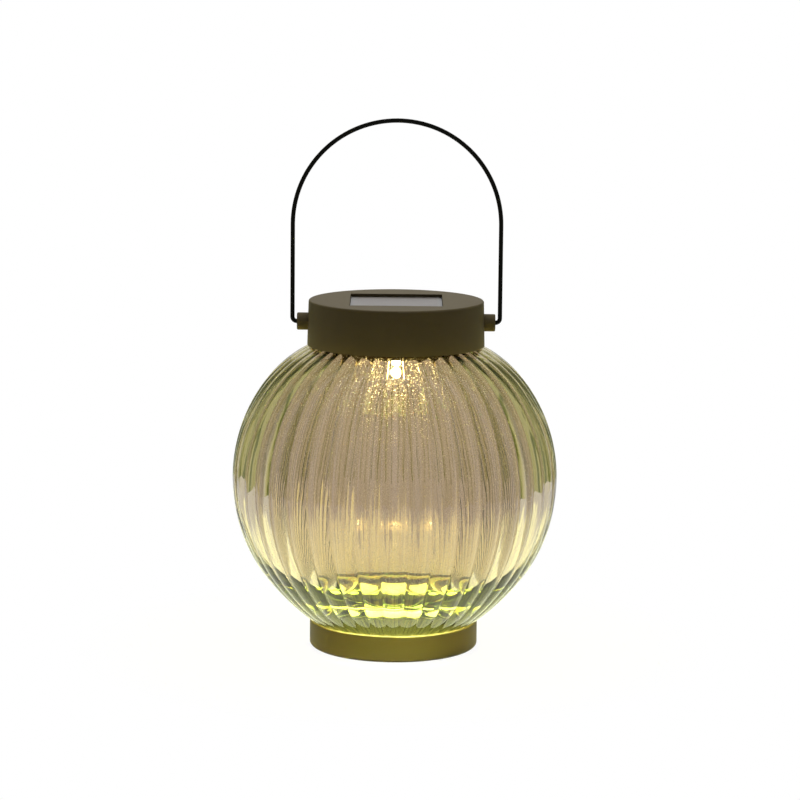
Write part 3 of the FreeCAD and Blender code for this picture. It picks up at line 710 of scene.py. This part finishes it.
# Bail
# A bow of 2 mm steel wire, bent to shape and powder coated. Its ends are turned in and swing in the cap's
# two bosses.

# Black powder coat, sprayed dry and baked: deep black, almost matt, with a fine even peel.
powder_coat = grained_material(
    "black_powder_coat",
    ("020202", "050505"),
    mottle=5 * MM,
    grain=0.25 * MM,
    relief=0.01 * MM,
    roughness=(0.45, 0.6),
    Specular_IOR_Level=0.08,
)
finish_node(powder_coat, "bail_handle")

# Studio
# A pale painted table top, a background that the camera sees white all round, and a soft lamp overhead.
# Gloss and glass see four white panels in it, with olive gaps between them, so that the ribs have edges.
table_half = 0.4
table_corners = [(x * table_half, y * table_half, 0) for x, y in ((-1, -1), (1, -1), (1, 1), (-1, 1))]
table_mesh = bpy.data.meshes.new("table_top")
table_mesh.from_pydata(table_corners, [], [range(len(table_corners))])
table = bpy.data.objects.new("table_top", table_mesh)
bpy.context.scene.collection.objects.link(table)


def seen_by_gloss_and_glass(tree):
    """1 for rays that come by way of gloss or glass, 0 for the rest."""
    path = add_node(tree, "ShaderNodeLightPath").outputs
    rays = {0: path["Is Glossy Ray"], 1: path["Is Transmission Ray"]}
    return add_node(tree, "ShaderNodeMath", rays, operation="MAXIMUM")


def table_paint():
    """Pale matt paint, rolled on: dull and even. The camera, gloss and glass see it white.

    Near the lantern the camera also sees a little of its shade. For gloss and glass a pool of uneven rays
    is drawn on it, which stands for the light that the ribs throw there.
    """
    shortest_ray = 0.1
    longest_ray = 0.42
    ray_fade = (-0.01, 0.03)  # from just past a ray's end to its full brightness
    shadow_reach = (0.05, 0.15)  # the shade fades out over these distances from the middle
    pool_strength = 2.2
    material, tree, place = start_material("pale_table_paint")
    diffuse = add_node(tree, "ShaderNodeBsdfDiffuse", {"Color": linear("c8c4ba")})
    path = add_node(tree, "ShaderNodeLightPath").outputs
    by_glass = seen_by_gloss_and_glass(tree)
    distance = add_node(tree, "ShaderNodeVectorMath", {0: place}, operation="LENGTH").outputs["Value"]
    way = add_node(tree, "ShaderNodeVectorMath", {0: place}, operation="NORMALIZE")
    rays = add_node(
        tree, "ShaderNodeTexNoise", {"Vector": way, "Scale": 4.0, "Detail": 2.0, "Roughness": 0.6}
    )
    ray_reach = add_node(
        tree,
        "ShaderNodeMapRange",
        {"Value": rays, "From Min": 0.35, "From Max": 0.65, "To Min": shortest_ray, "To Max": longest_ray},
    )
    left = add_node(tree, "ShaderNodeMath", {0: ray_reach, 1: distance}, operation="SUBTRACT")
    in_pool = add_node(
        tree,
        "ShaderNodeMapRange",
        {"Value": left, "From Min": ray_fade[0], "From Max": ray_fade[1]},
        interpolation_type="SMOOTHSTEP",
    )
    streaks = add_node(tree, "ShaderNodeTexNoise", {"Vector": way, "Scale": 16.0, "Detail": 1.0})
    streak = add_node(
        tree,
        "ShaderNodeMapRange",
        {"Value": streaks, "From Min": 0.35, "From Max": 0.55, "To Min": 0.3, "To Max": 1.0},
    )
    gathered = add_node(tree, "ShaderNodeMath", {0: in_pool, 1: streak}, operation="MULTIPLY")
    shown = add_node(tree, "ShaderNodeMath", {0: gathered, 1: by_glass}, operation="MULTIPLY")
    lit = add_node(
        tree,
        "ShaderNodeMix",
        {"Factor": shown, "A": linear("ffffff"), "B": linear("f6fbd4")},
        data_type="RGBA",
    )
    level = add_node(tree, "ShaderNodeMapRange", {"Value": shown, "To Min": 1.0, "To Max": pool_strength})
    white = add_node(tree, "ShaderNodeEmission", {"Color": lit, "Strength": level})
    camera_share = add_node(
        tree,
        "ShaderNodeMapRange",
        {
            "Value": distance,
            "From Min": shadow_reach[0],
            "From Max": shadow_reach[1],
            "To Min": 0.95,
            "To Max": 1.0,
        },
    )
    glass_share = add_node(tree, "ShaderNodeMath", {0: by_glass, 1: 0.9}, operation="MULTIPLY")
    share = add_node(
        tree,
        "ShaderNodeMath",
        {0: path["Is Camera Ray"], 1: camera_share, 2: glass_share},
        operation="MULTIPLY_ADD",
    )
    mixed = add_node(tree, "ShaderNodeMixShader", {0: share, 1: diffuse, 2: white})
    add_node(tree, "ShaderNodeOutputMaterial", {"Surface": mixed})
    return material


table_mesh.materials.append(table_paint())

# Round the lantern the share of a panel goes from 1 at its middle to 0 half way to the next panel.
panel_count = 4
panel_colours = (
    (0.0, "c8cc92"),
    (0.1, "c8cc92"),
    (0.14, "76843e"),
    (0.26, "76843e"),
    (0.32, "c8cc92"),
    (0.5, "e6e6c0"),
    (0.72, "ffffff"),
    (0.75, "a8ac70"),
    (0.82, "a8ac70"),
    (0.85, "ffffff"),
    (1.0, "ffffff"),
)
world = bpy.data.worlds.new("studio")
bpy.context.scene.world = world
world.use_nodes = True
sky = world.node_tree
sky.nodes.clear()
direction = add_node(sky, "ShaderNodeTexCoord").outputs["Generated"]
heading = add_node(sky, "ShaderNodeSeparateXYZ", {"Vector": direction}).outputs
azimuth = add_node(sky, "ShaderNodeMath", {0: heading["X"], 1: heading["Y"]}, operation="ARCTAN2")
phase = add_node(sky, "ShaderNodeMath", {0: azimuth, 1: panel_count}, operation="MULTIPLY")
swing = add_node(sky, "ShaderNodeMath", {0: phase}, operation="COSINE")
panel_share = add_node(sky, "ShaderNodeMapRange", {"Value": swing, "From Min": -1.0, "From Max": 1.0})
panels = add_node(sky, "ShaderNodeValToRGB", {"Fac": panel_share})
stops = panels.color_ramp.elements
while len(stops) < len(panel_colours):
    stops.new(1.0)
for stop, (share, colour) in zip(stops, panel_colours):
    stop.position = share
    stop.color = linear(colour)
path = add_node(sky, "ShaderNodeLightPath").outputs
backdrop_colour = add_node(
    sky,
    "ShaderNodeMix",
    {"Factor": path["Is Camera Ray"], "A": panels, "B": linear("ffffff")},
    data_type="RGBA",
)
backdrop = add_node(sky, "ShaderNodeBackground", {"Color": backdrop_colour, "Strength": 1.0})
ambient = add_node(sky, "ShaderNodeBackground", {"Color": linear("fff8ee"), "Strength": 0.06})
sees_backdrop = add_node(
    sky, "ShaderNodeMath", {0: path["Is Camera Ray"], 1: seen_by_gloss_and_glass(sky)}, operation="MAXIMUM"
)
surroundings = add_node(sky, "ShaderNodeMixShader", {0: sees_backdrop, 1: ambient, 2: backdrop})
add_node(sky, "ShaderNodeOutputWorld", {"Surface": surroundings})

softbox_side = 0.9
softbox_light = bpy.data.lights.new("overhead_softbox", "AREA")
softbox_light.shape = "RECTANGLE"
softbox_light.size = softbox_side
softbox_light.size_y = softbox_side
softbox_light.energy = 8.5
softbox = bpy.data.objects.new("overhead_softbox", softbox_light)
softbox.location = (0, 0.15, 1.1)
softbox.visible_glossy = False
softbox.visible_transmission = False
bpy.context.scene.collection.objects.link(softbox)

# Camera
# It stands straight in front of the lantern, 100 mm above the top of the bail, with a long lens. It looks
# down a little and leans by half a degree, as in the photograph.
camera_place = Vector((0, -1427.2, 345.3)) * MM
camera_aim = Vector((2.12, 0, 115.35)) * MM
camera_roll = 0.0095
camera_data = bpy.data.cameras.new("camera")
camera_data.sensor_width = 36.0
camera_data.lens = 141.14
camera = bpy.data.objects.new("camera", camera_data)
bpy.context.scene.collection.objects.link(camera)
forward = (camera_aim - camera_place).normalized()
right = forward.cross(Vector((0, 0, 1))).normalized()
upright = Matrix((right, right.cross(forward), -forward)).transposed()
turned = upright @ Matrix.Rotation(camera_roll, 3, "Z")
camera.matrix_world = Matrix.Translation(camera_place) @ turned.to_4x4()
bpy.context.scene.camera = camera

# Plain tones, and enough bounces for light to come through every wall of glass
bpy.context.scene.view_settings.view_transform = "Standard"
bpy.context.scene.cycles.transmission_bounces = 24
bpy.context.scene.cycles.max_bounces = 32
bpy.context.scene.cycles.transparent_max_bounces = 24
